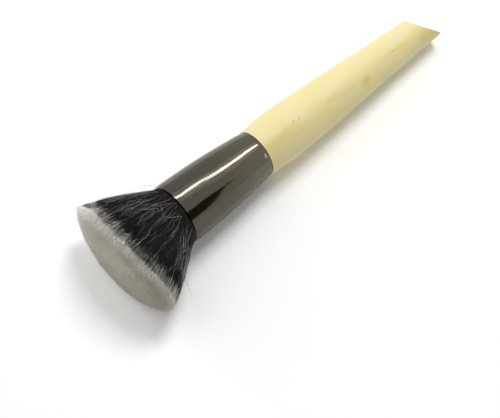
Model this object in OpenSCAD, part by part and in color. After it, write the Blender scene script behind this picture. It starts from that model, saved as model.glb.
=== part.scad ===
// Flat foundation brush, lying at rest on a table.
// Own axis: local x runs from the hair face to the tail of the handle, local x = 0 at the ferrule mouth.
// World frame: Z up, table at z = 0, +X towards the tail, origin on the table under the middle of the brush.

/* [Handle] */
// Distance of the middle of the slanted tail from the ferrule mouth
handle_end = 121.5; // [100:0.5:150]
// Widest radius of the handle, in its belly
belly_r = 9.55; // [8.8:0.05:10.5]
// Distance of the belly from the ferrule mouth
belly_x = 49; // [44:1:60]
// Radius of the handle where it leaves the ferrule
shoulder_r = 8.75; // [8.6:0.05:9.2]
// Radius the taper reaches at the very tip of the tail
tail_r = 5.75; // [4.5:0.05:6.5]
// Angle of the slanted tail cut from square across the axis
cut_angle = 47; // [10:1:50]
// Turn of the slanted cut about the axis, from straight up towards +Y
cut_turn = 25; // [0:5:60]
// Height of the small square end that blunts the tip of the slanted cut
tip_height = 3.2; // [1:0.1:5]
// Length of the turned tenon inside the ferrule
tenon_len = 15; // [12:0.5:18]

/* [Ferrule] */
// Length of the ferrule
ferrule_len = 36.8; // [35:0.1:40]
// Largest outer radius of the ferrule, just behind its mouth
mouth_r = 11.1; // [10.8:0.05:11.6]
// Outer radius of the ferrule at its rear
rear_r = 8.7; // [8.6:0.05:9.0]
// Wall thickness of the ferrule
wall = 0.35; // [0.3:0.05:0.5]
// Power that sets how late the ferrule tapers
taper_power = 1.85; // [1.4:0.05:2.4]
// How far the mouth rolls inwards
mouth_roll = 0.5; // [0.3:0.05:0.6]
// Length over which the two edges roll inwards
roll_len = 2.6; // [2:0.1:3.5]
// How far the rear edge rolls inwards
rear_roll = 0.15; // [0.1:0.05:0.2]

/* [Hair] */
// Length of the hair head outside the ferrule, at its middle
head_len = 26.9; // [22:0.1:30]
// Half of the wide side of the head at its rim
head_a = 25; // [21:0.1:28]
// Thickness of the upper half of the head at its rim
head_b = 14.4; // [12:0.1:15.5]
// Thickness of the lower half of the head, which the table holds back
head_b_low = 12.9; // [12:0.1:13.5]
// How much faster the head widens near the mouth than near the rim
flare_ease = 0.25; // [0:0.05:0.4]
// How much shorter the hair is at the two ends of the wide side
crown = 3; // [2:0.1:4.5]
// Lean of the head towards -Y at its rim
lean = 1.8; // [0:0.1:2.5]
// Radius of the soft rim between the side of the head and its face
rim_soft = 3; // [1.5:0.1:3.5]
// How far the middle of the face stands out past the rim
dome = 0.8; // [0.2:0.1:1.5]
// Thickness of the dark outer hair at the ferrule mouth
dark_t = 1.8; // [1.2:0.1:2.5]
// Thickness of the dark outer hair near its tips
dark_tip_t = 0.55; // [0.5:0.05:0.8]
// Part of the head length that the dark tips reach on the broad sides
dark_reach = 0.85; // [0.7:0.01:0.88]
// How much further the dark tips reach at the two narrow ends
dark_reach_ends = 0.03; // [0:0.01:0.04]
// Depth of the ragged edge of the dark tips, as a part of the head length
ragged = 0.1; // [0.04:0.01:0.12]
// Depth of the grooves between the strands of the dark hair
ridge = 0.3; // [0.1:0.05:0.35]
// Width by which the pale tips spread beyond the dark hair at the rim
rim_spread_w = 0.3; // [0:0.05:0.5]
// Depth of the grooves between the tufts of the pale rim
groove = 0.4; // [0.1:0.05:0.6]
// Height of the soft bumps on the pale face
bump = 0.5; // [0:0.05:0.7]
// Depth to which the table presses the lower side of the head flat
press_depth = 0.6; // [0.3:0.05:0.8]

/* [Hidden] */
// Facets of the turned parts
$fn = 96;
// Gap between the tenon and the rolled rear edge of the ferrule
tenon_gap = 0.03;
// Gap between the shoulder of the handle and the rear edge of the ferrule
shoulder_gap = 0.05;
// Gap at both ends of the resin plug and round it
resin_gap = 0.05;
// Gap between the hair roots and the mouth of the ferrule
root_gap = 0.1;
// Gap between the dark outer hair and the pale core
core_gap = 0.06;
// Length of the resin plug
plug_len = 7;
// Steps along each turned profile, and the powers that crowd them at the front of the handle and the ferrule
profile_steps = 36;
handle_crowd = 1.3;
ferrule_crowd = 1.2;
// Columns round the dark hair, and its rings outside the ferrule
dark_cols = 192;
dark_rings = 6;
// Columns round the pale fibres, and the rings of their side, their soft rim and their face
pale_cols = 128;
pale_rings = 6;
rim_rings = 4;
face_rings = 6;
// Number and height of the broad waves round the head
wave_n = 9;
wave_h = 0.2;
// Side of the block that makes the slanted cut
cut_block = 60;
// Power with which the dark hair thins towards its tips
thin_power = 1.2;
// Part of the ragged edge that every tooth keeps, and the part that varies
tooth_min = 0.25;
tooth_var = 0.55;
// Number of the broad waves along the ragged edge, and their height as a part of it
tooth_wave_n = 7;
tooth_wave = 0.25;
// Part of the ragged edge that stays clear past the longest tooth
tooth_clear = 0.6;
// Depth of the groove beside each strand: the part that all have and the part that varies
groove_min = 0.4;
groove_var = 0.6;
// Depth to which the last part of each dark tip bends inwards
tip_bend_depth = 0.1;
// Bumps of the face: their number round it, their turn from ring to ring, and the parts even, waved and random
bump_n = 5;
bump_turn = 70;
bump_mix = [0.3, 0.3, 0.4];
// Step of the search for the point where the handle meets the table
rest_step = 0.25;

tenon_r = rear_r - rear_roll - wall - tenon_gap;
tenon_start = ferrule_len - tenon_len;
plug_end = tenon_start - resin_gap;
plug_start = plug_end - plug_len;
root_x = plug_start - resin_gap;
root_r = mouth_r - mouth_roll - wall - root_gap;
tail_x = handle_end + tail_r * tan(cut_angle);
blunt_x = tail_x - tip_height * tan(cut_angle);

// Repeatable value from 0 to 1 for two whole numbers
function noise(i, j) = let (v = sin(i * 78.233 + j * 37.719) * 4375.85) v - floor(v);

// Smooth step from 0 to 1
function smooth(u) = u <= 0 ? 0 : (u >= 1 ? 1 : u * u * (3 - 2 * u));

// Radius of the handle outside the ferrule at local x
function handle_r(x) =
    x < belly_x
    ? shoulder_r + (belly_r - shoulder_r) * sin(90 * (x - ferrule_len) / (belly_x - ferrule_len))
    : let (u = (x - belly_x) / (tail_x - belly_x))
      belly_r - (belly_r - tail_r) * (u + smooth(u)) / 2;

// Outer radius of the ferrule before its edges are rolled
function ferrule_body_r(x) = mouth_r - (mouth_r - rear_r) * pow(x / ferrule_len, taper_power);

// Outer radius of the ferrule with its rolled edges
function ferrule_r(x) =
    let (m = max(0, 1 - x / roll_len), e = max(0, 1 - (ferrule_len - x) / roll_len))
    ferrule_body_r(x) - mouth_roll * m * m - rear_roll * e * e;

// Part of the flare reached at part u of the head length
function flare(u) = u <= 0 ? 0 : u * (1 + flare_ease * (1 - u));

// Half width, and half thickness at angle q, of the head at part u of its length
function half_a(u) = root_r + (head_a - root_r) * flare(u);
function half_b(u, q) = root_r + ((sin(q) > 0 ? head_b : head_b_low) - root_r) * flare(u);

// Depth of the inner side of the dark hair at part u of the head length
function dark_depth(u) = dark_tip_t + (dark_t - dark_tip_t) * pow(1 - u, thin_power);

// Part of the head length where no dark tip reaches any more, at angle q
function clear_of_dark(q) = dark_reach + dark_reach_ends * pow(cos(q), 2) + ragged * tooth_clear;

// Depth of the side of the pale fibres, which spread out to the rim once past the dark tips
function pale_depth(u, q) =
    let (c = clear_of_dark(q), s = smooth((u - c) / (1 - c)))
    (dark_depth(u) + core_gap) * (1 - s) - rim_spread_w * s;

// Local x of the rim at angle q
function rim_x(q) = crown * pow(cos(q), 2) - head_len;

// The rest of the brush: slope and height of its axis when the lower rim and the belly meet the table
rest_r = head_b_low - press_depth;
rest_slope = min([for (x = [ferrule_len : rest_step : handle_end]) (rest_r - handle_r(x)) / (x + head_len)]);
tilt = atan(rest_slope);
axis_h = (rest_r - head_len * rest_slope) * cos(tilt);

// Height of the table at local x, measured from the axis
function table_z(x) = (x * sin(tilt) - axis_h) / cos(tilt);

// Point of the head at angle q, part u of the way to the rim and depth t below the outer surface
function head_point(q, u, t) =
    let (w = wave_h * flare(u) * sin(wave_n * q), x = rim_x(q) * u)
    [
        x,
        (half_a(u) + w - t) * cos(q) - lean * flare(u) * u,
        max((half_b(u, q) + w - t) * sin(q), table_z(x))
    ];

// Point of the straight roots at angle q, local x and radius r
function root_point(q, x, r) = [x, r * cos(q), r * sin(q)];

// Part of the head length that column i of the dark hair reaches
function dark_end(i) =
    let (q = 360 * i / dark_cols, tooth = (i % 2) * (tooth_min + tooth_var * noise(i, 3)))
    dark_reach + dark_reach_ends * pow(cos(q), 2) + ragged * (tooth - 0.5 + tooth_wave * sin(tooth_wave_n * q));

// Depth of the outer side of the dark hair in column i, part v of the way to its tip
function strand_depth(i, v) =
    ridge * v * ((1 - i % 2) * groove_min + groove_var * noise(floor(i / 2), 11)) + tip_bend_depth * pow(v, 6);

// Ring k of the outer side of the dark hair
function dark_outer(k) = [
    for (i = [0 : dark_cols - 1])
        let (v = k / dark_rings)
        head_point(360 * i / dark_cols, dark_end(i) * v, strand_depth(i, v))
];

// Ring k of the inner side of the dark hair
function dark_inner(k) = [
    for (i = [0 : dark_cols - 1])
        let (u = dark_end(i) * k / dark_rings)
        head_point(360 * i / dark_cols, u, dark_depth(u))
];

// Ring of straight roots with n columns
function root_ring(n, x, r) = [for (i = [0 : n - 1]) root_point(360 * i / n, x, r)];

// Ring k of the side of the pale fibres, from the ferrule mouth to the start of the soft rim
function pale_side(k) = [
    for (i = [0 : pale_cols - 1])
        let (q = 360 * i / pale_cols, u = (1 + rim_soft / rim_x(q)) * k / pale_rings)
        head_point(q, u, pale_depth(u, q))
];

// Point of the soft rim in column i, turned by angle w from the side of the head to its face
function rim_point(i, w) =
    let (q = 360 * i / pale_cols, u = 1 + rim_soft * (1 - sin(w)) / rim_x(q))
    head_point(q, u, pale_depth(u, q) + rim_soft * (1 - cos(w)) + groove * noise(i, 5) * sin(w));

// Ring k of the soft rim, counted from the side
function rim_ring(k) = [for (i = [0 : pale_cols - 1]) rim_point(i, 90 * k / rim_rings)];

// Ring k of the pale face, counted inwards from the rim
function face_ring(k) = [
    for (i = [0 : pale_cols - 1])
        let (
            q = 360 * i / pale_cols,
            m = 1 - k / (face_rings + 1),
            p = rim_point(i, 90),
            waved = sin(bump_n * q + bump_turn * k),
            soft = bump * m * (bump_mix[0] + bump_mix[1] * waved + bump_mix[2] * noise(i, k)),
            x = crown * pow(m * cos(q), 2) - head_len - dome * (1 - m * m) + soft
        )
        [x, (p.y + lean) * m - lean, max(p.z * m, table_z(x))]
];

face_middle = [-head_len - dome, -lean, 0];

// Triangles between ring a and ring b of n columns
function band(a, b, n) = [
    for (i = [0 : n - 1])
        let (j = (i + 1) % n)
        each [[a * n + i, a * n + j, b * n + j], [a * n + i, b * n + j, b * n + i]]
];

dark_points = concat(
    root_ring(dark_cols, root_x, root_r),
    [for (k = [0 : dark_rings]) each dark_outer(k)],
    [for (k = [dark_rings : -1 : 0]) each dark_inner(k)],
    root_ring(dark_cols, root_x, root_r - dark_t)
);
dark_ring_count = 2 * dark_rings + 4;
dark_faces = [for (k = [0 : dark_ring_count - 1]) each band(k, (k + 1) % dark_ring_count, dark_cols)];

pale_points = concat(
    root_ring(pale_cols, root_x, root_r - dark_t - core_gap),
    [for (k = [0 : pale_rings]) each pale_side(k)],
    [for (k = [1 : rim_rings]) each rim_ring(k)],
    [for (k = [1 : face_rings]) each face_ring(k)],
    [face_middle, [root_x, 0, 0]]
);
pale_ring_count = 2 + pale_rings + rim_rings + face_rings;
pale_last = (pale_ring_count - 1) * pale_cols;
pale_tip = pale_ring_count * pale_cols;
pale_faces = concat(
    [for (k = [0 : pale_ring_count - 2]) each band(k, k + 1, pale_cols)],
    [for (i = [0 : pale_cols - 1]) [pale_last + i, pale_last + (i + 1) % pale_cols, pale_tip]],
    [for (i = [0 : pale_cols - 1]) [(i + 1) % pale_cols, i, pale_tip + 1]]
);

// Farthest point of the tail along the world x, and the spread of the head along x and y
tail_rim_x = max([
    for (q = [0 : 3 : 357])
        let (x = min(handle_end - tan(cut_angle) * tail_r * cos(q - cut_turn), blunt_x))
        x * cos(tilt) + tail_r * cos(q) * sin(tilt)
]);
head_xs = [for (p = pale_points) p.x * cos(tilt) + p.z * sin(tilt)];
head_ys = [for (p = concat(pale_points, dark_points)) p.y];
middle = [(min(head_xs) + tail_rim_x) / 2, (min(head_ys) + max(head_ys)) / 2];

// Lays a piece modelled along its own axis down on the table
module at_rest() {
    translate([-middle.x, -middle.y, axis_h])
        rotate([0, tilt, 0])
            children();
}

// Turns a profile of [radius, local x] points about the brush's axis
module turned(profile) {
    rotate([0, 90, 0])
        rotate_extrude()
            polygon(profile);
}

// Wooden handle with its tenon, belly, taper and slanted tail
module handle() {
    start = ferrule_len + shoulder_gap;
    outline = [
        for (k = [0 : profile_steps])
            let (x = start + (blunt_x - start) * pow(k / profile_steps, handle_crowd))
            [handle_r(x), x]
    ];
    tenon = [[0, tenon_start], [tenon_r, tenon_start], [tenon_r, start]];
    color([0.9, 0.85, 0.62])
        at_rest()
            difference() {
                turned(concat(tenon, outline, [[0, blunt_x]]));
                translate([handle_end, 0, 0])
                    rotate([-cut_turn, 0, 0])
                        rotate([0, -cut_angle, 0])
                            translate([0, -cut_block / 2, -cut_block / 2])
                                cube(cut_block);
            }
}

// Thin drawn metal ferrule with rolled edges
module ferrule() {
    xs = [for (k = [0 : profile_steps]) ferrule_len * pow(k / profile_steps, ferrule_crowd)];
    outside = [for (x = xs) [ferrule_r(x), x]];
    inside = [for (k = [profile_steps : -1 : 0]) [ferrule_r(xs[k]) - wall, xs[k]]];
    color([0.33, 0.31, 0.28])
        at_rest()
            turned(concat(outside, inside));
}

// Cured resin that holds the hair roots
module resin_plug() {
    start_r = ferrule_body_r(plug_start) - wall - resin_gap;
    end_r = ferrule_body_r(plug_end) - wall - resin_gap;
    color([0.75, 0.65, 0.4])
        at_rest()
            turned([[0, plug_start], [start_r, plug_start], [end_r, plug_end], [0, plug_end]]);
}

// Dark outer hair: a fluted flaring sleeve with ragged tips
module dark_hair() {
    color([0.14, 0.13, 0.13])
        at_rest()
            polyhedron(points = dark_points, faces = dark_faces, convexity = 8);
}

// Pale longer fibres: a core whose tufted rim and soft face stand out of the dark hair
module pale_fibre() {
    color([0.82, 0.8, 0.74])
        at_rest()
            polyhedron(points = pale_points, faces = pale_faces, convexity = 8);
}

handle();
ferrule();
resin_plug();
dark_hair();
pale_fibre();
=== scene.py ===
"""Looks of a flat foundation brush: strands of hair, gunmetal ferrule, bamboo handle, studio and camera."""

import logging
import math
from dataclasses import dataclass
from enum import Enum
from typing import Any, Sequence

import bpy
import numpy as np
from mathutils import Matrix, Vector


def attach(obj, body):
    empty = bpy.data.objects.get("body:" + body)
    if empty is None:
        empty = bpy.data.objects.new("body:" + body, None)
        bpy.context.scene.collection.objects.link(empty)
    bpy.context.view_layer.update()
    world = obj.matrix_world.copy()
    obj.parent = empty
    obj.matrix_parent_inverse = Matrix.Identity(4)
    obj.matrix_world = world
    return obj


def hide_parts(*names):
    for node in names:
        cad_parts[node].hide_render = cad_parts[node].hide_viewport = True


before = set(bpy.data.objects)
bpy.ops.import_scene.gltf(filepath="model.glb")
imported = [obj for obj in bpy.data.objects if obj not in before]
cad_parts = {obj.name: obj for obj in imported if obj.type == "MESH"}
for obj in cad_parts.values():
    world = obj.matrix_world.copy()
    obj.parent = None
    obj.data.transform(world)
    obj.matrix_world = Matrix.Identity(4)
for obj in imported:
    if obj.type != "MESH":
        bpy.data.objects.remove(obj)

MM = 0.001
FULL_TURN = 2.0 * math.pi
TINY = 1e-12
CLUMP_STEP, SALT_STEP, CLUMP_SCALE = 78.233, 37.719, 4375.85
Colour = tuple[float, float, float]
Point = tuple[float, float, float]
Span = tuple[float, float]
Spot = tuple[float, float, float, float]
Array = np.ndarray
Pair = tuple[Array, Array]
Material = bpy.types.Material
BLACK: Colour = (0.0, 0.0, 0.0)
WHITE: Colour = (1.0, 1.0, 1.0)
log = logging.getLogger("brush")


class Node(Enum):
    """The part's nodes; the names of the two of hair are also their material slots."""

    HANDLE = "handle"
    FERRULE = "ferrule"
    RESIN_PLUG = "resin_plug"
    DARK_HAIR = "dark_hair"
    PALE_FIBRE = "pale_fibre"


class Salt(Enum):
    """What a repeatable value of a clump is for."""

    TUFT_CENTRE = 1
    DARK_TUFT = 2
    PALE_TUFT = 3
    LOCK = 4


@dataclass(frozen=True)
class Value:
    """A number socket that takes part in Python expressions."""

    graph: "Graph"
    socket: bpy.types.NodeSocket

    def _math(self, operation: str, first: Any, second: Any) -> "Value":
        """Adds one Math node on two values or numbers."""
        return self.graph.node("ShaderNodeMath", {"operation": operation}, {0: first, 1: second})

    def __add__(self, other: Any) -> "Value":
        """Sum."""
        return self._math("ADD", self, other)

    def __radd__(self, other: Any) -> "Value":
        """Reflected sum."""
        return self._math("ADD", other, self)

    def __sub__(self, other: Any) -> "Value":
        """Difference."""
        return self._math("SUBTRACT", self, other)

    def __rsub__(self, other: Any) -> "Value":
        """Reflected difference."""
        return self._math("SUBTRACT", other, self)

    def __mul__(self, other: Any) -> "Value":
        """Product."""
        return self._math("MULTIPLY", self, other)

    def __rmul__(self, other: Any) -> "Value":
        """Reflected product."""
        return self._math("MULTIPLY", other, self)

    def __truediv__(self, other: Any) -> "Value":
        """Quotient."""
        return self._math("DIVIDE", self, other)

    def __pow__(self, other: Any) -> "Value":
        """Power."""
        return self._math("POWER", self, other)

    def angle_with(self, other: "Value") -> "Value":
        """Angle whose tangent is this value over the other."""
        return self._math("ARCTAN2", self, other)

    def over(self, low: float, high: float) -> "Value":
        """Smooth step from 0 at the first limit to 1 at the second."""
        values = {"Value": self, "From Min": low, "From Max": high}
        return self.graph.node("ShaderNodeMapRange", {"interpolation_type": "SMOOTHSTEP"}, values)


Axes = tuple[Value, Value, Value]


class Graph:
    """One material's or world's node tree."""

    MIX_SHARE, MIX_LOW, MIX_HIGH, MIX_RESULT = 0, 6, 7, 2
    SPOT_FADE: Span = (0.1, 1.6)

    def __init__(self, tree: bpy.types.NodeTree) -> None:
        """Empties the tree and keeps it."""
        self.tree = tree
        tree.nodes.clear()

    def link(self, target: bpy.types.NodeSocket, value: Any) -> None:
        """Feeds a socket.

        Args:
            target: The input socket.
            value: A Value, an output socket, a number, a vector or a colour.
        """
        if isinstance(value, Value):
            self.tree.links.new(value.socket, target)
        elif isinstance(value, bpy.types.NodeSocket):
            self.tree.links.new(value, target)
        elif isinstance(value, (tuple, list)) and target.type == "RGBA" and len(value) == 3:
            target.default_value = (*value, 1.0)
        else:
            target.default_value = value

    def feed(self, node: bpy.types.Node, values: dict[Any, Any]) -> None:
        """Feeds sockets of a node, given by name or index."""
        for name, value in values.items():
            self.link(node.inputs[name], value)

    def raw(self, kind: str, settings: dict[str, Any], values: dict[Any, Any]) -> bpy.types.Node:
        """Adds any node.

        Args:
            kind: The node's type.
            settings: Attributes that are set first.
            values: Input name or index to value or link.

        Returns:
            The node.
        """
        made = self.tree.nodes.new(kind)
        for name, setting in settings.items():
            setattr(made, name, setting)
        self.feed(made, values)
        return made

    def node(self, kind: str, settings: dict[str, Any], values: dict[Any, Any], out: Any = 0) -> Value:
        """Adds any node and wraps its output of the given name or index."""
        return Value(self, self.raw(kind, settings, values).outputs[out])

    def mix(self, share: Any, low: Any, high: Any) -> Value:
        """Mixes two colours: share 0 gives the first and 1 the second."""
        values = {self.MIX_SHARE: share, self.MIX_LOW: low, self.MIX_HIGH: high}
        return self.node("ShaderNodeMix", {"data_type": "RGBA"}, values, self.MIX_RESULT)

    def vector(self, x: Any, y: Any, z: Any) -> Value:
        """Joins three values into a vector."""
        return self.node("ShaderNodeCombineXYZ", {}, {0: x, 1: y, 2: z})

    def noise(self, place: Value, scale: float, detail: float = 2.0) -> Value:
        """Noise at a point, with its waves per unit and its octaves."""
        return self.node("ShaderNodeTexNoise", {}, {"Vector": place, "Scale": scale, "Detail": detail}, "Fac")

    def rays(self, *kinds: str) -> list[Value]:
        """For each kind of ray a value that is 1 on such a ray and 0 on others."""
        path = self.raw("ShaderNodeLightPath", {}, {})
        return [Value(self, path.outputs[f"Is {kind} Ray"]) for kind in kinds]

    def bump(self, height: Value, strength: float, depth: float) -> Value:
        """Normal of a relief, with its strength from 0 to 1 and its depth in metres."""
        return self.node("ShaderNodeBump", {}, {"Strength": strength, "Distance": depth, "Height": height})

    def spot(self, x: Value, around: Value, spot: Spot) -> Value:
        """A soft round mark on a turned surface.

        Args:
            x: Distance along the brush.
            around: Angle about the axis, 0 on top and positive towards +Y.
            spot: Place along the brush, angle, half length in millimetres and half width in radians.

        Returns:
            1 in the mark and 0 outside.
        """
        place, turn, length, width = spot
        far = ((x - place) / length) ** 2.0 + ((around - turn) / width) ** 2.0
        return 1.0 - far.over(*self.SPOT_FADE)


@dataclass(frozen=True)
class Rest:
    """How the brush's own axis lies in the row frame, in millimetres and radians, as in the source."""

    tilt: float = math.radians(2.04596)
    height: float = 11.3318
    middle_x: float = 48.2157
    middle_y: float = -1.5003

    def to_row(self, points: Array) -> Array:
        """Takes points from the brush's own axis to the row frame.

        Args:
            points: Points in millimetres, last axis x, y, z.

        Returns:
            The same points in metres.
        """
        c, s = math.cos(self.tilt), math.sin(self.tilt)
        x, y, z = points[..., 0], points[..., 1], points[..., 2]
        moved = [x * c + z * s - self.middle_x, y - self.middle_y, z * c - x * s + self.height]
        return np.stack(moved, axis=-1) * MM

    def own_axes(self, graph: Graph) -> Axes:
        """Reads the shaded point in the brush's own axes.

        Args:
            graph: The material's tree.

        Returns:
            x along the brush, y across and z up, in millimetres.
        """
        c, s = math.cos(self.tilt), math.sin(self.tilt)
        place = graph.node("ShaderNodeTexCoord", {}, {}, "Object")
        split = graph.raw("ShaderNodeSeparateXYZ", {}, {0: place})
        x, y, z = (Value(graph, split.outputs[i]) * (1.0 / MM) for i in range(3))
        x, y, z = x + self.middle_x, y + self.middle_y, z - self.height
        return x * c - z * s, y, x * s + z * c


REST = Rest()


@dataclass(frozen=True)
class Grain:
    """A noise in the brush's own axes, with a factor along the brush and one across it."""

    along: float
    across: float
    scale: float
    detail: float
    shift: float = 0.0

    def read(self, graph: Graph, axes: Axes) -> Value:
        """Reads the noise at a point in the brush's own axes."""
        place = graph.vector(axes[0] * self.along, axes[1] * self.across, axes[2] * self.across + self.shift)
        return graph.noise(place, self.scale, self.detail)


@dataclass(frozen=True)
class Blend:
    """Between which values of a noise a second tone comes in, and how strongly."""

    low: float
    high: float
    share: float

    def of(self, value: Value) -> Value:
        """Share of the second tone at this value of the noise."""
        return value.over(self.low, self.high) * self.share


@dataclass(frozen=True)
class Bamboo:
    """Pale lacquered bamboo with soft fibres, golden patches, brown specks, a sawn end and a golden streak
    along one side that is partly painted shade.
    """

    pale: Colour = (0.855, 0.765, 0.40)
    cream: Colour = (0.87, 0.76, 0.50)
    golden: Colour = (0.83, 0.70, 0.29)
    patch: Colour = (0.76, 0.59, 0.18)
    speck: Colour = (0.26, 0.17, 0.08)
    fibres: Grain = Grain(0.05, 1.6, 2.2, 4.0)
    fine: Grain = Grain(0.12, 4.5, 2.0, 3.0)
    clouds: Grain = Grain(0.4, 1.0, 0.18, 2.0)
    soft: Grain = Grain(0.8, 1.0, 0.13, 1.0, 40.0)
    fibre_blend: Blend = Blend(0.35, 0.7, 0.18)
    fine_blend: Blend = Blend(0.55, 0.8, 0.16)
    cloud_blend: Blend = Blend(0.4, 0.75, 0.3)
    soft_blend: Blend = Blend(0.4, 0.65, 0.5)
    # A golden streak along the side where the lit top turns to shade: partly the bamboo's own golden tone,
    # partly painted shade.
    golden_shade_streak_turn: float = -0.62
    golden_shade_streak_half: float = 0.34
    golden_shade_streak_waver: float = 0.6
    golden_shade_streak_edge: float = 1.4
    golden_shade_streak_share: float = 0.25
    patch_blend: Blend = Blend(0.3, 0.6, 0.6)
    patch_least: float = 0.4
    patch_share: float = 0.42
    bare_radius: float = 3.0
    skin_radius: float = 5.0
    handle_radius: float = 9.0
    speck_stretch: float = 1.3
    speck_share: float = 0.5
    roughness: float = 0.42
    rough_waver: float = 0.12
    relief: float = 0.18
    relief_depth: float = 0.0002
    gloss: float = 0.2
    coat: float = 0.03
    coat_roughness: float = 0.3
    patches: tuple[Spot, ...] = (
        (38.8, -0.64, 4.5, 0.26), (43.0, -0.56, 6.0, 0.18), (48.3, -0.64, 6.0, 0.30),
        (70.0, -0.52, 5.0, 0.14), (76.0, -0.68, 5.0, 0.15), (84.3, -0.84, 3.0, 0.32),
        (84.3, -0.84, 1.6, 0.20), (101.0, -0.52, 6.0, 0.12), (118.5, -0.95, 6.0, 0.40))
    specks: tuple[Point, ...] = (
        (51.1, -0.34, 0.26), (53.2, -0.39, 0.22), (51.9, 0.23, 0.24), (50.3, 0.25, 0.18),
        (55.6, -0.62, 0.15), (100.3, -0.5, 0.24), (119.7, -1.37, 0.2), (53.5, -1.45, 0.2),
        (71.0, 2.6, 0.25), (84.0, -2.2, 0.3))

    def build(self) -> Material:
        """Makes the material.

        Returns:
            The finished material.
        """
        material, graph, shader = new_material("bamboo")
        axes = REST.own_axes(graph)
        x, y, z = axes
        around = y.angle_with(z)
        grains = self.fibres, self.fine, self.clouds, self.soft
        fibres, fine, clouds, soft = (grain.read(graph, axes) for grain in grains)
        colour = graph.mix(self.soft_blend.of(soft), self.pale, self.cream)
        colour = graph.mix(self.cloud_blend.of(clouds) + self.fibre_blend.of(fibres), colour, self.golden)
        colour = graph.mix(self.fine_blend.of(fine), colour, self.golden)
        # Golden streak at a fixed turn round the handle, partly painted shade.
        off = (around - self.golden_shade_streak_turn + (clouds - 0.5) * self.golden_shade_streak_waver) / self.golden_shade_streak_half
        golden_shade_streak = (1.0 - (off * off).over(0.0, self.golden_shade_streak_edge)) * self.golden_shade_streak_share
        colour = graph.mix(golden_shade_streak, colour, self.golden)
        outside = (y * y + z * z).over(self.bare_radius ** 2, self.skin_radius ** 2)
        clouded = self.patch_least + self.patch_blend.of(clouds)
        for patch in self.patches:
            spot = graph.spot(x, around, patch) * outside * clouded
            colour = graph.mix(spot * self.patch_share, colour, self.patch)
        for place, turn, radius in self.specks:
            size = radius * self.speck_stretch, radius / self.handle_radius
            spot = graph.spot(x, around, (place, turn, *size))
            colour = graph.mix(spot * self.speck_share, colour, self.speck)
        graph.feed(shader, {
            "Base Color": colour,
            "Roughness": self.roughness + fibres * self.rough_waver,
            "Normal": graph.bump(fine + fibres, self.relief, self.relief_depth),
            "Specular IOR Level": self.gloss,
            "Coat Weight": self.coat,
            "Coat Roughness": self.coat_roughness})
        return material


@dataclass(frozen=True)
class Gunmetal:
    """Dark grey plated metal, polished, with faint handling marks, a painted sheen towards the rear, a
    painted glint near the rear edge and painted shade in a thin band at the mouth.
    """

    tone: Colour = (0.100, 0.094, 0.074)
    # Lighter, warmer tone of a painted sheen towards the rear.
    painted_rear_sheen: Colour = (0.146, 0.130, 0.100)
    mark: Colour = (0.130, 0.120, 0.095)
    # Tone of a painted glint near the rear edge.
    painted_glint_tone: Colour = (0.50, 0.42, 0.38)
    # Near-black painted shade at the mouth, where the ferrule meets the hair.
    painted_mouth_shade: Colour = (0.006, 0.005, 0.005)
    painted_sheen_span: Span = (14.0, 34.0)
    marks: Grain = Grain(0.35, 1.0, 0.5, 3.0)
    dents: Grain = Grain(0.6, 1.0, 0.22, 1.0)
    mark_blend: Blend = Blend(0.4, 0.75, 0.25)
    rough_blend: Blend = Blend(0.45, 0.8, 0.05)
    painted_glint: Spot = (35.6, -0.75, 0.5, 0.1)
    painted_glint_share: float = 0.9
    mouth_shade_width: float = 0.55
    roughness: float = 0.09
    relief: float = 0.12
    relief_depth: float = 0.0004

    def build(self) -> Material:
        """Makes the material.

        Returns:
            The finished material.
        """
        material, graph, shader = new_material("gunmetal")
        axes = REST.own_axes(graph)
        x, y, z = axes
        marks = self.marks.read(graph, axes)
        # Painted sheen: the tone grows lighter and warmer towards the rear.
        colour = graph.mix(x.over(*self.painted_sheen_span), self.tone, self.painted_rear_sheen)
        colour = graph.mix(self.mark_blend.of(marks), colour, self.mark)
        # A small light patch near the rear edge: a painted glint.
        painted_glint = graph.spot(x, y.angle_with(z), self.painted_glint)
        colour = graph.mix(painted_glint * self.painted_glint_share, colour, self.painted_glint_tone)
        # A near-black band at the mouth: painted shade where the ferrule meets the hair.
        colour = graph.mix(1.0 - x.over(self.mouth_shade_width / 2.0, self.mouth_shade_width), colour, self.painted_mouth_shade)
        graph.feed(shader, {
            "Base Color": colour,
            "Metallic": 1.0,
            "Roughness": self.roughness + self.rough_blend.of(marks),
            "Normal": graph.bump(self.dents.read(graph, axes), self.relief, self.relief_depth)})
        return material


@dataclass(frozen=True)
class Resin:
    """Amber resin round the hair roots."""

    tone: Colour = (0.50, 0.36, 0.16)
    deep: Colour = (0.36, 0.24, 0.10)
    clouds: Grain = Grain(1.0, 1.0, 0.6, 3.0)
    roughness: float = 0.2
    rough_waver: float = 0.15

    def build(self) -> Material:
        """Makes the material.

        Returns:
            The finished material.
        """
        material, graph, shader = new_material("resin")
        clouds = self.clouds.read(graph, REST.own_axes(graph))
        graph.feed(shader, {
            "Base Color": graph.mix(clouds, self.tone, self.deep),
            "Roughness": self.roughness + clouds * self.rough_waver})
        return material


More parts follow.
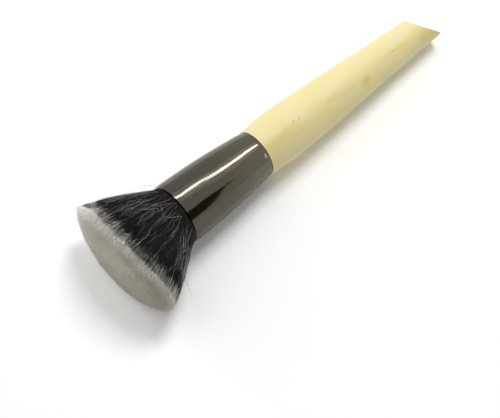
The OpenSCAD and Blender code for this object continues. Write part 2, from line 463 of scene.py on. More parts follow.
@dataclass(frozen=True)
class Fibre:
    """Hair or fibre, each strand a little different in tone, with a tone at its root and one at its tip,
    stray strands that on the dark hair are painted highlights, and painted light towards the +Y end with
    painted shade towards the -Y end where its share is set.
    """

    name: str
    root: Colour
    tip: Colour
    # Stray tone: odd strands, and on the dark hair painted highlights.
    stray_and_highlight: Colour
    stray_and_highlight_share: float
    spread: float
    roughness: float
    gloss: float
    start: float
    end: float
    # Painted side light and shade: its share, the light tone (also taken by strands of lighter own tone), and
    # the spans of the lit and shaded sides.
    painted_side_light: float = 0.0
    lighter_tone_and_painted_light: Colour = (1.0, 0.98, 0.91)
    painted_lit_side: Span = (2.0, 26.0)
    painted_shaded_side: Span = (8.0, -20.0)
    painted_shade_share: float = 0.15
    mottle: float = 0.15
    clumps: Grain = Grain(0.12, 1.0, 0.9, 2.0)
    patches: Grain = Grain(0.1, 1.0, 0.3, 1.0)
    patch_weight: float = 2.2
    scatter: float = 0.8
    rough_waver: float = 0.1

    def build(self) -> Material:
        """Makes the material.

        Returns:
            The finished material.
        """
        material, graph, shader = new_material(self.name)
        axes = REST.own_axes(graph)
        x, y, _ = axes
        chance = graph.node("ShaderNodeNewGeometry", {}, {}, "Random Per Island")
        clumps, patches = self.clumps.read(graph, axes), self.patches.read(graph, axes)
        behind = x + FORM.head_len - y * y * (FORM.crown / FORM.head_a ** 2)
        # Tone from root to tip; on the pale fibre the darker tip tone over the face is partly painted shade.
        colour = graph.mix(behind.over(self.end, self.start), self.tip, self.root)
        shade = (chance - 0.5) * self.scatter * self.spread
        shade = shade + ((clumps - 0.5) + (patches - 0.5) * self.patch_weight) * self.mottle
        # Painted light towards the +Y end and painted shade towards the -Y end, where light falls on one side
        # of the head.
        side = y.over(*self.painted_lit_side) - y.over(*self.painted_shaded_side) * self.painted_shade_share
        shade = shade + side * self.painted_side_light
        # The light tone takes each strand's own lighter tone and the painted light; black takes the darker
        # ones and the painted shade.
        colour = graph.mix(shade.over(0.0, 1.0), colour, self.lighter_tone_and_painted_light)
        colour = graph.mix((0.0 - shade).over(0.0, 1.0), colour, BLACK)
        # Strands in the stray tone: odd strands, and on the dark hair painted highlights.
        stray_and_highlight = chance.over(1.0 - self.stray_and_highlight_share, 1.0 - self.stray_and_highlight_share / 2.0)
        graph.feed(shader, {
            "Base Color": graph.mix(stray_and_highlight, colour, self.stray_and_highlight),
            "Roughness": self.roughness + clumps * self.rough_waver,
            "Specular IOR Level": self.gloss})
        return material


# Its grey stray strands are painted highlights on the dark hair.
DARK_HAIR = Fibre(
    name="dark_hair", root=(0.006, 0.005, 0.006), tip=(0.010, 0.008, 0.007), stray_and_highlight=(0.10, 0.095, 0.09),
    stray_and_highlight_share=0.07, spread=0.02, roughness=0.45, gloss=0.12, start=27.0, end=3.0)
# Its darker tip tone over the face is partly the fibres' own tone and partly painted shade of the face, which
# turns away from the light.
PALE_FIBRE = Fibre(
    name="pale_fibre", root=(0.97, 0.95, 0.89), tip=(0.765, 0.73, 0.63), stray_and_highlight=(0.95, 0.93, 0.88),
    # The last share paints light towards the +Y end and shade towards the -Y end.
    stray_and_highlight_share=0.1, spread=0.17, roughness=0.6, gloss=0.3, start=1.4, end=0.15, painted_side_light=0.74)
RIM_FIBRE = Fibre(
    name="rim_fibre", root=(0.97, 0.95, 0.89), tip=(0.94, 0.915, 0.84), stray_and_highlight=(0.97, 0.95, 0.91),
    # The last share paints light towards the +Y end and shade towards the -Y end.
    stray_and_highlight_share=0.15, spread=0.42, roughness=0.6, gloss=0.3, start=2.6, end=0.2, painted_side_light=0.74)
LIGHT_WISP = Fibre(
    name="light_wisp", root=(0.48, 0.46, 0.44), tip=(0.60, 0.58, 0.55), stray_and_highlight=(0.90, 0.90, 0.87),
    stray_and_highlight_share=0.15, spread=0.5, roughness=0.4, gloss=0.5, start=27.0, end=3.0)


@dataclass(frozen=True)
class Paper:
    """White seamless floor that stays white to the camera and keeps the shadows."""

    tone: Colour = (0.97, 0.97, 0.97)
    tooth_tone: Colour = (0.9, 0.9, 0.9)
    tooth_scale: float = 900.0
    tooth_share: float = 0.04
    roughness: float = 0.9
    lift: float = 0.09
    far_lift: float = 0.75
    seen_span: Span = (0.12, 0.6)
    mirrored_span: Span = (0.25, 1.4)

    def build(self) -> Material:
        """Makes the material.

        Returns:
            The finished material.
        """
        material, graph, shader = new_material("paper")
        seen, mirrored = graph.rays("Camera", "Glossy")
        place = graph.node("ShaderNodeTexCoord", {}, {}, "Object")
        away = graph.node("ShaderNodeVectorMath", {"operation": "LENGTH"}, {0: place}, "Value")
        tooth = graph.noise(place, self.tooth_scale, 1.0)
        lift = seen * (away.over(*self.seen_span) * self.far_lift + self.lift)
        lift = lift + mirrored * away.over(*self.mirrored_span) * self.far_lift
        graph.feed(shader, {
            "Base Color": graph.mix(tooth * self.tooth_share, self.tone, self.tooth_tone),
            "Roughness": self.roughness,
            "Specular IOR Level": 0.0,
            "Emission Strength": 1.0,
            "Emission Color": graph.mix(lift, BLACK, WHITE)})
        return material


def new_material(name: str) -> tuple[Material, Graph, bpy.types.Node]:
    """Starts a material.

    Args:
        name: The material's name.

    Returns:
        The material, its graph and its shader node.
    """
    material = bpy.data.materials.new(name)
    material.use_nodes = True
    graph = Graph(material.node_tree)
    shader = graph.raw("ShaderNodeBsdfPrincipled", {}, {})
    graph.raw("ShaderNodeOutputMaterial", {}, {"Surface": shader.outputs[0]})
    return material, graph, shader


def new_object(
        name: str, points: Array, faces: Sequence[Sequence[int]], material: Material,
        smooth: bool = True) -> bpy.types.Object:
    """Makes a mesh object from points in the row frame.

    Args:
        name: The piece's name.
        points: Points in metres.
        faces: Corner numbers of each face.
        material: What it is made of.
        smooth: Whether the faces shade smoothly.

    Returns:
        The object, linked to the scene.
    """
    mesh = bpy.data.meshes.new(name)
    mesh.from_pydata(points.reshape(-1, 3).tolist(), [], faces)
    mesh.polygons.foreach_set("use_smooth", [smooth] * len(mesh.polygons))
    mesh.update()
    mesh.materials.append(material)
    made = bpy.data.objects.new(name, mesh)
    bpy.context.scene.collection.objects.link(made)
    return made


def ring_faces(rings: int, cols: int) -> list[tuple[int, ...]]:
    """Faces between rings of points that follow each other, each ring of as many points as cols."""
    edges = [(k * cols + i, k * cols + (i + 1) % cols) for k in range(rings - 1) for i in range(cols)]
    return [(a, b, b + cols, a + cols) for a, b in edges]


@dataclass(frozen=True)
class HeadForm:
    """Form of the hair head with the same values as the source, in millimetres."""

    head_len: float = 26.9
    head_a: float = 25.0
    head_b: float = 14.4
    head_b_low: float = 12.9
    root_r: float = 10.15
    flare_ease: float = 0.25
    crown: float = 3.0
    lean: float = 1.8
    rim_soft: float = 3.0
    dome: float = 0.8
    wave_n: int = 9
    wave_h: float = 0.2
    table_gap: float = 0.04

    def flare(self, u: Array) -> Array:
        """Part of the flare reached at part u of the head length."""
        ahead = np.maximum(u, 0.0)
        return ahead * (1.0 + self.flare_ease * (1.0 - ahead))

    def rim_x(self, q: Array) -> Array:
        """Place of the rim along the brush at angle q."""
        return self.crown * np.cos(q) ** 2 - self.head_len

    def on_table(self, x: Array, y: Array, z: Array) -> Array:
        """Joins coordinates into points and presses those under the table up onto it."""
        table = (x * math.sin(REST.tilt) - REST.height) / math.cos(REST.tilt)
        return np.stack([x, y, np.maximum(z, table + self.table_gap)], axis=-1)

    def point(self, q: Array, u: Any, depth: Any, inner: Any = 1.0) -> Array:
        """Points of the head in the brush's own axes.

        Args:
            q: Angle round the head in radians, 0 at the +Y end.
            u: Part of the way from the mouth to the rim, below 0 inside the ferrule.
            depth: Distance below the outer surface.
            inner: Part of the way from the middle of the bundle to its outside.

        Returns:
            Points in millimetres, last axis x, y, z.
        """
        q, u, depth, inner = np.broadcast_arrays(q, u, depth, inner)
        flare = self.flare(u)
        wide = self.root_r + (self.head_a - self.root_r) * flare
        thick = np.where(np.sin(q) > 0, self.head_b, self.head_b_low)
        thick = self.root_r + (thick - self.root_r) * flare
        wave = self.wave_h * flare * np.sin(self.wave_n * q)
        x = (self.crown * (inner * np.cos(q)) ** 2 - self.head_len - self.dome * (1.0 - inner ** 2)) * u
        y = (wide + wave - depth) * np.cos(q) * inner - self.lean * flare * u
        z = (thick + wave - depth) * np.sin(q) * inner
        return self.on_table(x, y, z)

    def reach(self, q: Array, inner: Array) -> Array:
        """Part of the head length where fibres end to form the soft rim.

        Args:
            q: Angle round the head in radians.
            inner: Part of the way from the middle of the bundle to its outside.

        Returns:
            1 over the face, and less towards the outside.
        """
        rim = self.point(q, 1.0, 0.0)
        radius = np.hypot(rim[..., 1] + self.lean, rim[..., 2])
        past = np.clip(1.0 - (1.0 - inner) * radius / self.rim_soft, 0.0, 1.0)
        return 1.0 + self.rim_soft * (1.0 - np.sqrt(1.0 - past ** 2)) / self.rim_x(q)


FORM = HeadForm()


@dataclass(frozen=True)
class StrandKind:
    """How many strands of a kind there are, and their radius along their length, in millimetres."""

    count: int
    steps: int
    thin: float
    thick: float
    blunt: float
    curve: int
    least: float

    def along(self) -> Array:
        """Part of the length at each step."""
        return np.linspace(0.0, 1.0, self.steps)[None]

    def radii(self, rng: np.random.Generator, count: int) -> Array:
        """Radius of each strand at each step, tapered towards the tip, with one draw for each strand."""
        radius = rng.uniform(self.thin, self.thick, count)[:, None]
        return radius * np.clip(self.blunt - self.along() ** self.curve, self.least, 1.0)


@dataclass(frozen=True)
class Strands:
    """Many thin tapered strands in one mesh, in millimetres.

    Paths are strand, step and x, y, z in the brush's own axes, and radii strand and step. The last step
    is drawn as a point.
    """

    name: str
    paths: Array
    radii: Array
    corners: int = 3
    aside: Point = (0.13, 0.37, 0.92)

    def rings(self) -> Array:
        """Places the corners round each step of each strand but its last.

        Returns:
            Strand, corner and x, y, z in the brush's own axes.
        """
        along = np.gradient(self.paths, axis=1)
        along /= np.linalg.norm(along, axis=-1, keepdims=True) + TINY
        side = np.cross(along, np.array(self.aside))
        side /= np.linalg.norm(side, axis=-1, keepdims=True) + TINY
        third = np.cross(along, side)
        turns = np.arange(self.corners) * FULL_TURN / self.corners
        ring = side[:, :-1, None] * np.cos(turns)[:, None] + third[:, :-1, None] * np.sin(turns)[:, None]
        ring = self.paths[:, :-1, None] + ring * self.radii[:, :-1, None, None]
        return ring.reshape(len(ring), -1, 3)

    def build(self, material: Material, slot: Node) -> bpy.types.Object:
        """Makes the mesh and hangs it on the brush.

        Args:
            material: What the strands are made of.
            slot: Not used.

        Returns:
            The piece.
        """
        count, steps = self.paths.shape[:2]
        points = np.concatenate([self.rings(), self.paths[:, -1:]], axis=1)
        each = self.corners * (steps - 1) + 1
        faces = ring_faces(steps - 1, self.corners)
        last = (steps - 2) * self.corners
        tips = [(last + k, last + (k + 1) % self.corners, each - 1) for k in range(self.corners)]
        starts = np.arange(count) * each
        quads = (np.array(faces, dtype=int).reshape(-1, 4)[None] + starts[:, None, None]).reshape(-1, 4)
        triangles = (np.array(tips)[None] + starts[:, None, None]).reshape(-1, 3)
        made = new_object(self.name, REST.to_row(points), quads.tolist() + triangles.tolist(), material)
        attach(made, "root")
        return made


@dataclass
class HairHead:
    """The flat head: dark outer hair over longer pale fibres, as cores and strands.

    Lengths along the hair are parts of the head length, and depths are in millimetres.
    """

    dark: Material
    pale: Material
    rim: Material
    wisp: Material
    seed: int = 7
    wisp_seed: int = 12
    columns: int = 144
    tufts: int = 230
    locks: int = 41
    dark_kind: StrandKind = StrandKind(6000, 7, 0.052, 0.09, 1.2, 3, 0.2)
    rim_kind: StrandKind = StrandKind(10000, 5, 0.06, 0.1, 1.1, 3, 0.15)
    face_kind: StrandKind = StrandKind(14000, 3, 0.09, 0.14, 1.0, 2, 0.0)
    fuzz_kind: StrandKind = StrandKind(1500, 6, 0.02, 0.035, 1.05, 2, 0.1)
    wisp_kind: StrandKind = StrandKind(300, 16, 0.014, 0.04, 1.1, 4, 0.1)
    flyaway_kind: StrandKind = StrandKind(170, 9, 0.02, 0.035, 1.05, 2, 0.1)
    loose_steps: int = 24
    loose_radius: float = 0.065
    loose_smoothing: int = 4
    long_dark: tuple[Point, ...] = (
        (-6.0, -12.6, -4.0), (-9.5, -15.8, -4.2), (-11.6, -18.6, -3.9), (-12.6, -21.0, -3.8),
        (-13.7, -23.7, -3.8), (-14.4, -26.2, -3.8))
    long_light: tuple[Point, ...] = (
        (0.4, 8.0, 6.6), (-0.6, 10.6, 6.9), (-3.2, 12.6, 6.8), (-6.5, 13.7, 6.2), (-10.0, 14.9, 5.0),
        (-12.5, 15.3, 3.6))
    dark_rings: tuple[Span, ...] = (
        (-0.5, 0.1), (-0.02, 0.1), (0.0, 0.1), (0.06, 0.25), (0.2, 0.32), (0.4, 0.36), (0.6, 0.4),
        (0.76, 0.6), (0.775, 1.3))
    pale_rings: tuple[Span, ...] = ((-0.5, 1.9), (0.0, 1.9), (0.3, 1.5), (0.6, 1.1))
    edge_rings: Span = (0.74, 0.84)
    face_rings: tuple[float, ...] = (0.995, 0.97, 0.94, 0.9, 0.84, 0.76, 0.64, 0.48, 0.3, 0.12)
    edge_depth: float = 0.8
    edge_depth_airy: float = 1.3
    face_depth: float = 0.5
    soft_rim: float = 0.05
    round_from: float = 0.7
    round_over: float = 0.3
    round_core: float = 0.25
    tuft_jitter: float = 0.4
    strand_drift: float = 0.018
    strand_sway: float = 0.005
    strand_lift: float = 0.06
    airy_depth: float = 0.3
    dark_root: float = -0.05
    dark_reach: float = 0.844
    dark_limit: float = 0.91
    dark_slant: float = 0.054
    dark_drop: float = 0.13
    dark_rise: float = 0.1
    tip_wave: float = 0.015
    tip_waves: int = 7
    tuft_ragged: float = 0.06
    lock_ragged: float = 0.05
    tuft_point: float = 0.07
    short_share: float = 0.3
    short_by: float = 0.12
    single_share: float = 0.3
    rim_inward: float = 0.42
    rim_length: float = 0.26
    rim_ragged: float = 0.02
    face_length: float = 0.06
    face_wave: float = 0.01
    fuzz_length: float = 0.2
    fuzz_inner: float = 0.985

    def __post_init__(self) -> None:
        """Starts the repeatable random numbers."""
        self.rng = np.random.default_rng(self.seed)

    def airy(self, q: Array) -> Array:
        """1 at the thin +Y end of the head, falling to 0 away from it."""
        return np.clip(np.cos(q), 0.0, 1.0) ** 3

    def rounding(self, inner: Array) -> Array:
        """How far the fibres stand back near the rim."""
        return self.soft_rim * np.clip((inner - self.round_from) / self.round_over, 0.0, 1.0) ** 2

    def tuft(self, q: Array) -> Array:
        """Number of the tuft at angle q."""
        return np.floor(q / FULL_TURN * self.tufts)

    def dark_tips(self, q: Array) -> Array:
        """Where the dark tips end, lower at the -Y end and higher at the +Y end.

        Args:
            q: Angle round the head.

        Returns:
            Part of the head length.
        """
        across = np.cos(q)
        drop = self.dark_drop * np.clip((-0.55 - across) / 0.4, 0.0, 1.0)
        rise = self.dark_rise * np.clip((across - 0.7) / 0.25, 0.0, 1.0)
        wave = self.tip_wave * np.sin(self.tip_waves * q)
        return self.dark_reach - self.dark_slant * across - drop + rise + wave

    def core(
            self, name: str, node: Node, material: Material,
            layers: list[Array]) -> bpy.types.Object:
        """A closed soft form under the strands.

        Args:
            name: The piece's name.
            node: The CAD node that the piece stands for, which is also its material slot.
            material: What it is made of.
            layers: Rings of points in the brush's own axes.

        Returns:
            The piece.
        """
        cols = len(layers[0])
        ends = [layer.mean(axis=0, keepdims=True) for layer in (layers[0], layers[-1])]
        points = np.concatenate(layers + ends)
        faces = ring_faces(len(layers), cols)
        end = len(layers) * cols
        for i in range(cols):
            j = (i + 1) % cols
            faces.append((j, i, end))
            faces.append((end - cols + i, end - cols + j, end + 1))
        made = new_object(name, REST.to_row(points), faces, material)
        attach(made, "root")
        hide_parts(node.value)
        return made

    def dark_layers(self, q: Array) -> list[Array]:
        """Rings of the form under the dark strands, for the angles q."""
        thin = self.airy_depth * self.airy(q)
        return [FORM.point(q, u, depth + thin * max(u, 0.0)) for u, depth in self.dark_rings]

    def pale_layers(self, q: Array) -> list[Array]:
        """Rings of the form under the pale strands.

        Args:
            q: Angles round the head.

        Returns:
            Rings of points in the brush's own axes, from inside the ferrule to the middle of the face.
        """
        edge = self.edge_depth + self.edge_depth_airy * self.airy(q)
        sides = [*self.pale_rings, *((u, edge) for u in self.edge_rings)]
        layers = [FORM.point(q, u, depth) for u, depth in sides]
        for inner in self.face_rings:
            outer = min(max((inner - self.round_from) / self.round_core, 0.0), 1.0)
            under = self.face_depth + (edge - self.face_depth) * outer
            part = np.full_like(q, inner)
            u = FORM.reach(q, part) - self.rounding(part) + under / FORM.rim_x(q)
            layers.append(FORM.point(q, u, under, part))
        return layers

    def paths(
            self, q: Array, start: Array, end: Array, depths: Pair, steps: int, pull: Any,
            inner: Any = 1.0) -> Array:
        """Paths of strands that gather into pointed tufts.

        Args:
            q: Angle of each strand round the head.
            start: Part of the head length where each begins.
            end: Part of the head length where each ends.
            depths: Depth of each at its start and at its end.
            steps: Points along a strand.
            pull: How far the tips draw together.
            inner: Part of the way from the middle of the bundle to its outside.

        Returns:
            Strand, step and x, y, z in the brush's own axes.
        """
        count, tuft = len(q), self.tuft(q)
        v = np.linspace(0.0, 1.0, steps)[None]
        centre = (tuft + 0.5 + self.tuft_jitter * clump(tuft, Salt.TUFT_CENTRE)) / self.tufts * FULL_TURN
        drift = self.rng.normal(0.0, self.strand_drift, count)[:, None]
        sway = self.rng.normal(0.0, self.strand_sway, count)[:, None] * np.sin(v * 7.0 + q[:, None] * 40.0)
        angle = q[:, None] + (centre - q)[:, None] * pull * v ** 3 + drift * (v - 0.5) + sway
        u = start[:, None] + (end - start)[:, None] * v
        lift = self.rng.normal(0.0, self.strand_lift, count)[:, None] * np.sin(v * math.pi)
        depth = depths[0][:, None] * (1.0 - v) + depths[1][:, None] * v + lift
        return FORM.point(angle, u, depth, np.broadcast_to(inner, count)[:, None])

    def thinned(self, q: Array, inner: Array, share: float, beyond: float) -> Pair:
        """Leaves out a share of the fibres beyond a part of the way out, at the thin +Y end."""
        kept = self.rng.random(len(q)) > share * self.airy(q) * (inner > beyond)
        return q[kept], inner[kept]

    def dark_side(self) -> Pair:
        """Strands of the dark outer hair.

        Returns:
            Paths and radii.
        """
        kind, count = self.dark_kind, self.dark_kind.count
        q = self.rng.uniform(0.0, FULL_TURN, count)
        tuft, lock = self.tuft(q), np.floor(q / FULL_TURN * self.locks)
        off = np.abs(q / FULL_TURN * self.tufts - tuft - 0.5)
        end = self.dark_tips(q) + self.tuft_ragged * clump(tuft, Salt.DARK_TUFT)
        end = end + self.lock_ragged * clump(lock, Salt.LOCK) - self.tuft_point * off
        end = end + self.rng.normal(0.06, 0.025, count)
        end = end - np.where(self.rng.random(count) < self.short_share, self.short_by, 0.0)
        single = self.rng.random(count) < self.single_share
        end = end + np.where(single, self.rng.uniform(-0.02, 0.07, count), 0.0)
        end = np.minimum(end, self.dark_limit + self.rng.normal(0.0, 0.012, count))
        inward = self.airy_depth * self.airy(q)
        first = self.rng.uniform(0.0, 0.5, count) + inward * 0.4
        depths = first, self.rng.uniform(-0.12, 0.42, count) + inward
        radii = kind.radii(self.rng, count) * np.where(single, 0.5, 1.0)[:, None]
        pull = np.where(single, 0.15, 0.75)[:, None]
        return self.paths(q, np.full(count, self.dark_root), end, depths, kind.steps, pull), radii

    def pale_rim(self) -> Pair:
        """Pale fibres round the outside of the head, whose tips form the soft rim.

        Returns:
            Paths and radii.
        """
        kind, count = self.rim_kind, self.rim_kind.count
        q = self.rng.uniform(0.0, FULL_TURN, count)
        q, inner = self.thinned(q, 1.0 - self.rim_inward * self.rng.random(count) ** 2.0, 0.8, 0.93)
        count = len(q)
        end = FORM.reach(q, inner) - self.rounding(inner)
        end = end + self.rim_ragged * clump(self.tuft(q), Salt.PALE_TUFT) + self.rng.normal(0.0, 0.012, count)
        depths = self.rng.uniform(0.5, 0.8, count), self.rng.uniform(-0.15, 0.3, count)
        radii = kind.radii(self.rng, count)
        return self.paths(q, end - self.rim_length, end, depths, kind.steps, 0.5, inner), radii

    def face_tips(self) -> Pair:
        """Fibre ends that make the face soft.

        Returns:
            Paths and radii.
        """
        kind, count = self.face_kind, self.face_kind.count
        q = self.rng.uniform(0.0, FULL_TURN, count)
        q, inner = self.thinned(q, 0.97 * np.sqrt(self.rng.random(count)), 0.6, 0.92)
        count = len(q)
        bumps = self.face_wave * np.sin(7 * q) * np.cos(4 * q + 1.0) * inner
        end = FORM.reach(q, inner) - self.rounding(inner) + bumps + self.rng.normal(0.0, 0.008, count)
        radii = kind.radii(self.rng, count)
        depths = np.zeros(count), np.zeros(count)
        return self.paths(q, end - self.face_length, end, depths, kind.steps, 0.0, inner), radii

    def fuzz(self) -> Pair:
        """Fine pale hairs that stand a little past the rim, most at the +Y end.

        Returns:
            Paths and radii.
        """
        kind, count = self.fuzz_kind, self.fuzz_kind.count
        v = kind.along()
        near_end = self.rng.random(count) < 0.55
        at_end = self.rng.normal(0.1, 0.45, count)
        q = np.where(near_end, at_end, self.rng.uniform(0.0, FULL_TURN, count))[:, None]
        end = self.fuzz_inner - 0.7 * self.soft_rim + self.rng.gamma(1.6, 0.009, count)[:, None]
        u = end - self.fuzz_length + self.fuzz_length * v
        angle = q + self.rng.normal(0.0, 0.06, count)[:, None] * (v - 0.3)
        depth = 0.4 - self.rng.gamma(1.6, 0.32, count)[:, None] * v ** 2
        return FORM.point(angle, u, depth, self.fuzz_inner), kind.radii(self.rng, count)

    def wisps(self) -> Pair:
        """Thin light wavy hairs that lie over the dark ones, from random numbers of their own.

        Returns:
            Paths and radii.
        """
        kind, count = self.wisp_kind, self.wisp_kind.count
        rng = np.random.default_rng(self.wisp_seed)
        v = kind.along()
        q = rng.uniform(0.0, FULL_TURN, count)[:, None]
        start = rng.uniform(0.0, 0.5, count)[:, None]
        u = start + rng.uniform(0.12, 0.5, count)[:, None] * v
        wild = np.where(rng.random(count) < 0.15, 0.4, 0.12)
        slant = (rng.normal(0.0, 1.0, count) * wild)[:, None]
        waves = rng.uniform(0.004, 0.025, count)[:, None]
        kinks = np.sin(v * rng.uniform(8.0, 22.0, count)[:, None] + q * 30.0)
        angle = q + slant * (v - 0.5) + waves * kinks
        weave = np.sin(v * rng.uniform(7.0, 15.0, count)[:, None] + q * 20.0)
        depth = -0.13 - 0.1 * np.sin(v * math.pi) + 0.13 * weave
        return FORM.point(angle, u, depth), kind.radii(rng, count)

    def flyaways(self) -> Pair:
        """Dark hairs that stand a little off the head.

        Returns:
            Paths and radii.
        """
        kind, count = self.flyaway_kind, self.flyaway_kind.count
        v = kind.along()
        q = self.rng.uniform(0.0, FULL_TURN, count)[:, None]
        start = self.rng.uniform(0.0, 0.45, count)[:, None]
        u = start + self.rng.uniform(0.25, 0.55, count)[:, None] * v
        angle = q + self.rng.normal(0.0, 0.2, count)[:, None] * (v - 0.3)
        rise = self.rng.gamma(1.5, 0.35, count)[:, None]
        depth = 0.1 - rise * v ** 1.5 + 0.1 * np.sin(v * 8.0 + q * 17.0)
        return FORM.point(angle, u, depth), kind.radii(self.rng, count)

    def loose(self, points: Sequence[Point]) -> Pair:
        """One long hair on a smooth curve.

        Args:
            points: Places that it passes, in the brush's own axes.

        Returns:
            Its path and radii, as one strand.
        """
        steps = self.loose_steps
        place = np.linspace(0.0, len(points) - 1.0, steps)
        spread = np.array([[max(0.0, 1.0 - abs(p - k)) for k in range(len(points))] for p in place])
        path = spread @ np.array(points)
        for _ in range(self.loose_smoothing):
            path[1:-1] = (path[:-2] + 2.0 * path[1:-1] + path[2:]) / 4.0
        return path[None], np.full((1, steps), self.loose_radius) * np.linspace(1.0, 0.5, steps)[None]

    def build(self) -> None:
        """Makes every piece of the head."""
        q = np.arange(self.columns) * FULL_TURN / self.columns
        report(self.core("dark_core", Node.DARK_HAIR, self.dark, self.dark_layers(q)))
        report(self.core("pale_core", Node.PALE_FIBRE, self.pale, self.pale_layers(q)))
        for name, strands, material, slot in (
                ("dark_strands", self.dark_side(), self.dark, Node.DARK_HAIR),
                ("pale_strands", self.pale_rim(), self.rim, Node.PALE_FIBRE),
                ("face_tips", self.face_tips(), self.pale, Node.PALE_FIBRE),
                ("rim_fuzz", self.fuzz(), self.rim, Node.PALE_FIBRE),
                ("light_wisps", self.wisps(), self.wisp, Node.DARK_HAIR),
                ("flyaways", self.flyaways(), self.dark, Node.DARK_HAIR),
                ("long_dark_hair", self.loose(self.long_dark), self.dark, Node.DARK_HAIR),
                ("long_light_hair", self.loose(self.long_light), self.wisp, Node.DARK_HAIR)):
            report(Strands(name, *strands).build(material, slot))


def clump(group: Array, salt: Salt) -> Array:
    """Repeatable value from -0.5 to 0.5 for each clump."""
    wave = np.sin(group * CLUMP_STEP + salt.value * SALT_STEP) * CLUMP_SCALE
    return wave - np.floor(wave) - 0.5


@dataclass(frozen=True)
class Card:
    """A plain card far off that only polished surfaces mirror."""

    name: str
    light: float
    corners: tuple[Point, ...]
    tint: Colour = (0.88, 0.9, 1.0)
    far: float = 0.9
    start: Point = (-0.035, 0.0, 0.011)
    farther: float = 1.1
    cloth: Colour = (0.004, 0.004, 0.003)
    weave: Colour = (0.008, 0.008, 0.006)
    weave_scale: float = 40.0
    weave_share: float = 0.1
    roughness: float = 0.9

    def behind(self, name: str, light: float, wider: float, tint: Colour) -> "Card":
        """A dimmer card a little farther off that shows on both sides of this one.

        Args:
            name: The new card's name.
            light: Its strength.
            wider: How many times as wide it is.
            tint: Its colour.

        Returns:
            The new card.
        """
        ends = np.array(self.corners)
        middle = (ends + ends[::-1]) / 2.0
        corners = tuple(tuple(corner) for corner in (middle + (ends - middle) * wider).tolist())
        return Card(name, light, corners, tint, self.far * self.farther)

    def finish(self) -> Material:
        """Makes the card's cloth.

        Returns:
            The finished material.
        """
        material, graph, shader = new_material(self.name)
        weave = graph.noise(graph.node("ShaderNodeTexCoord", {}, {}, "Object"), self.weave_scale)
        graph.feed(shader, {
            "Base Color": graph.mix(weave, self.cloth, self.weave),
            "Roughness": self.roughness,
            "Specular IOR Level": 0.0,
            "Emission Strength": self.light,
            "Emission Color": graph.mix(weave * self.weave_share, self.tint, BLACK)})
        return material

    def build(self) -> None:
        """Makes the card, with its corners in the directions that the metal mirrors it from."""
        points = [np.array(self.start) + self.far * np.array(c) / np.linalg.norm(c) for c in self.corners]
        pairs = len(points) // 2
        faces = [(k, k + 1, 2 * pairs - 2 - k, 2 * pairs - 1 - k) for k in range(pairs - 1)]
        made = new_object(self.name, np.array(points), faces, self.finish(), False)
        made.visible_camera = made.visible_diffuse = made.visible_shadow = made.visible_transmission = False


DARK_CARD = Card("dark_card", 0.07, (
    (-0.340, -0.710, 0.620), (-0.241, -0.671, 0.701), (0.163, -0.678, 0.717), (0.417, -0.650, 0.635),
    (0.436, -0.648, 0.624), (0.456, -0.635, 0.624), (0.473, -0.652, 0.590), (0.491, -0.652, 0.578),
    (0.507, -0.659, 0.555), (0.528, -0.680, 0.509),
    (0.526, -0.705, 0.475), (0.502, -0.736, 0.454), (0.482, -0.779, 0.400), (0.461, -0.825, 0.327),
    (0.439, -0.864, 0.248), (0.420, -0.880, 0.224), (0.399, -0.902, 0.168), (0.244, -0.945, 0.218),
    (-0.252, -0.946, 0.206), (-0.340, -0.940, 0.050)), (1.0, 0.86, 0.55))
STRIP_CARD = Card("strip_card", 14.0, (
    (-0.250, 0.470, 0.845), (-0.063, 0.372, 0.926), (0.273, 0.318, 0.908), (0.424, 0.311, 0.851),
    (0.460, 0.294, 0.838), (0.486, 0.208, 0.849), (0.515, 0.148, 0.844), (0.549, 0.125, 0.827),
    (0.596, 0.115, 0.794), (0.621, 0.120, 0.774), (0.720, 0.095, 0.687),
    (0.720, 0.035, 0.693), (0.625, 0.006, 0.781), (0.599, -0.021, 0.800), (0.551, -0.016, 0.834),
    (0.517, 0.008, 0.856), (0.488, 0.082, 0.869), (0.463, 0.169, 0.870), (0.425, 0.186, 0.886),
    (0.240, 0.179, 0.954), (-0.104, 0.238, 0.966), (-0.300, 0.350, 0.885)))
HALO_CARD = STRIP_CARD.behind("halo_card", 1.3, 5.0, (1.0, 0.94, 0.89))


@dataclass(frozen=True)
class Lamp:
    """A soft lamp that faces the brush and isn't mirrored in it."""

    name: str
    aim: Point
    power: float
    size: float
    far: float = 1.2
    target: Point = (0.0, 0.0, 0.0)
    spread: float = math.pi

    def build(self) -> None:
        """Makes the lamp."""
        data = bpy.data.lights.new(self.name, "AREA")
        data.shape = "SQUARE"
        data.size = self.size
        data.energy = self.power
        data.spread = self.spread
        made = bpy.data.objects.new(self.name, data)
        away = Vector(self.aim).normalized()
        along = (Vector((1.0, 0.0, 0.0)) - away * away.x).normalized()
        turned = Matrix((along, away.cross(along), away)).transposed().to_4x4()
        made.matrix_world = Matrix.Translation(Vector(self.target) + away * self.far) @ turned
        made.visible_glossy = made.visible_camera = False
        bpy.context.scene.collection.objects.link(made)


KEY_LAMP = Lamp("key_lamp", aim=(0.48, 0.14, 0.87), power=9.4, size=0.55)
FILL_LAMP = Lamp("fill_lamp", aim=(-0.34, 0.74, 0.58), power=4.9, size=1.3)
EDGE_LAMP = Lamp(
    "edge_lamp", aim=(-0.05, 0.99, 0.05), power=0.0065, size=0.04, far=0.12, target=(-0.07, 0.016, 0.016),
    spread=0.5)


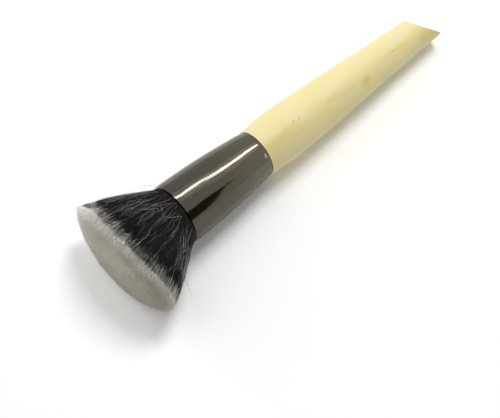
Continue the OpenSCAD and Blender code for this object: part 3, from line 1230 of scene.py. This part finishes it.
@dataclass(frozen=True)
class Studio:
    """Pale floor, white surround, soft lamps and the cards that the metal mirrors."""

    floor_half: float = 3.0
    surround: float = 0.325
    mirrored: float = 0.8
    tint: Colour = (1.0, 0.99, 0.97)
    lamps: tuple[Lamp, ...] = (KEY_LAMP, FILL_LAMP, EDGE_LAMP)
    cards: tuple[Card, ...] = (DARK_CARD, STRIP_CARD, HALO_CARD)

    def floor(self) -> None:
        """Makes the floor."""
        half = self.floor_half
        points = np.array([(-half, -half, 0.0), (half, -half, 0.0), (half, half, 0.0), (-half, half, 0.0)])
        new_object("floor", points, [(0, 1, 2, 3)], Paper().build(), False)

    def world(self) -> None:
        """Makes the surround, which is white to the camera and dimmer as a light."""
        world = bpy.data.worlds.new("surround")
        bpy.context.scene.world = world
        world.use_nodes = True
        graph = Graph(world.node_tree)
        seen, passed, mirror = graph.rays("Camera", "Transmission", "Glossy")
        strength = self.surround + (seen + passed) * (1.0 - self.surround)
        strength = strength + mirror * (self.mirrored - self.surround)
        background = graph.raw("ShaderNodeBackground", {}, {"Color": self.tint, "Strength": strength})
        graph.raw("ShaderNodeOutputWorld", {}, {"Surface": background.outputs[0]})

    def build(self) -> None:
        """Makes the floor, the surround, the lamps and the cards."""
        self.floor()
        self.world()
        for piece in (*self.lamps, *self.cards):
            piece.build()


@dataclass(frozen=True)
class PhotoCamera:
    """Camera at the photograph's viewing angle; lengths in millimetres, places on the picture in pixels."""

    elevation: float = math.radians(58.8)
    turn: float = math.radians(43.2)
    distance: float = 400.0
    focal: float = 1220.0
    mouth: Span = (174.0, 215.6)
    centre: Span = (250.0, 209.0)
    width: float = 500.0
    sensor: float = 36.0
    nearest: float = 10.0

    def build(self) -> None:
        """Makes the camera and sets it as the scene's."""
        right = Vector((math.cos(self.turn), -math.sin(self.turn), 0.0))
        ahead = Vector((math.sin(self.turn), math.cos(self.turn), 0.0))
        rise = Vector((0.0, 0.0, 1.0))
        look = ahead * math.cos(self.elevation) - rise * math.sin(self.elevation)
        top = ahead * math.sin(self.elevation) + rise * math.cos(self.elevation)
        mouth = Vector(REST.to_row(np.zeros(3)).tolist())
        side, down = ((m - c) / self.focal * self.distance for m, c in zip(self.mouth, self.centre))
        place = mouth - (right * side - top * down + look * self.distance) * MM
        data = bpy.data.cameras.new("photo_camera")
        data.sensor_width = self.sensor
        data.lens = self.sensor * self.focal / self.width
        data.clip_start = self.nearest * MM
        made = bpy.data.objects.new("photo_camera", data)
        made.matrix_world = Matrix.Translation(place) @ Matrix((right, top, -look)).transposed().to_4x4()
        bpy.context.scene.collection.objects.link(made)
        bpy.context.scene.camera = made


def report(piece: bpy.types.Object) -> None:
    """Logs a piece's name and size."""
    log.info("%s: %d faces", piece.name, len(piece.data.polygons))


def main() -> None:
    """Builds the brush's looks, the studio and the camera."""
    logging.basicConfig(level=logging.INFO, format="%(name)s %(message)s")
    bpy.context.scene.view_settings.view_transform = "Standard"
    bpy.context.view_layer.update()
    PhotoCamera().build()
    Studio().build()
    for node, finish in ((Node.HANDLE, Bamboo()), (Node.FERRULE, Gunmetal()), (Node.RESIN_PLUG, Resin())):
        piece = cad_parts[node.value]
        piece.data.materials.clear()
        piece.data.materials.append(finish.build())
        report(piece)
    HairHead(*(fibre.build() for fibre in (DARK_HAIR, PALE_FIBRE, RIM_FIBRE, LIGHT_WISP))).build()


if __name__ == "__main__":
    main()
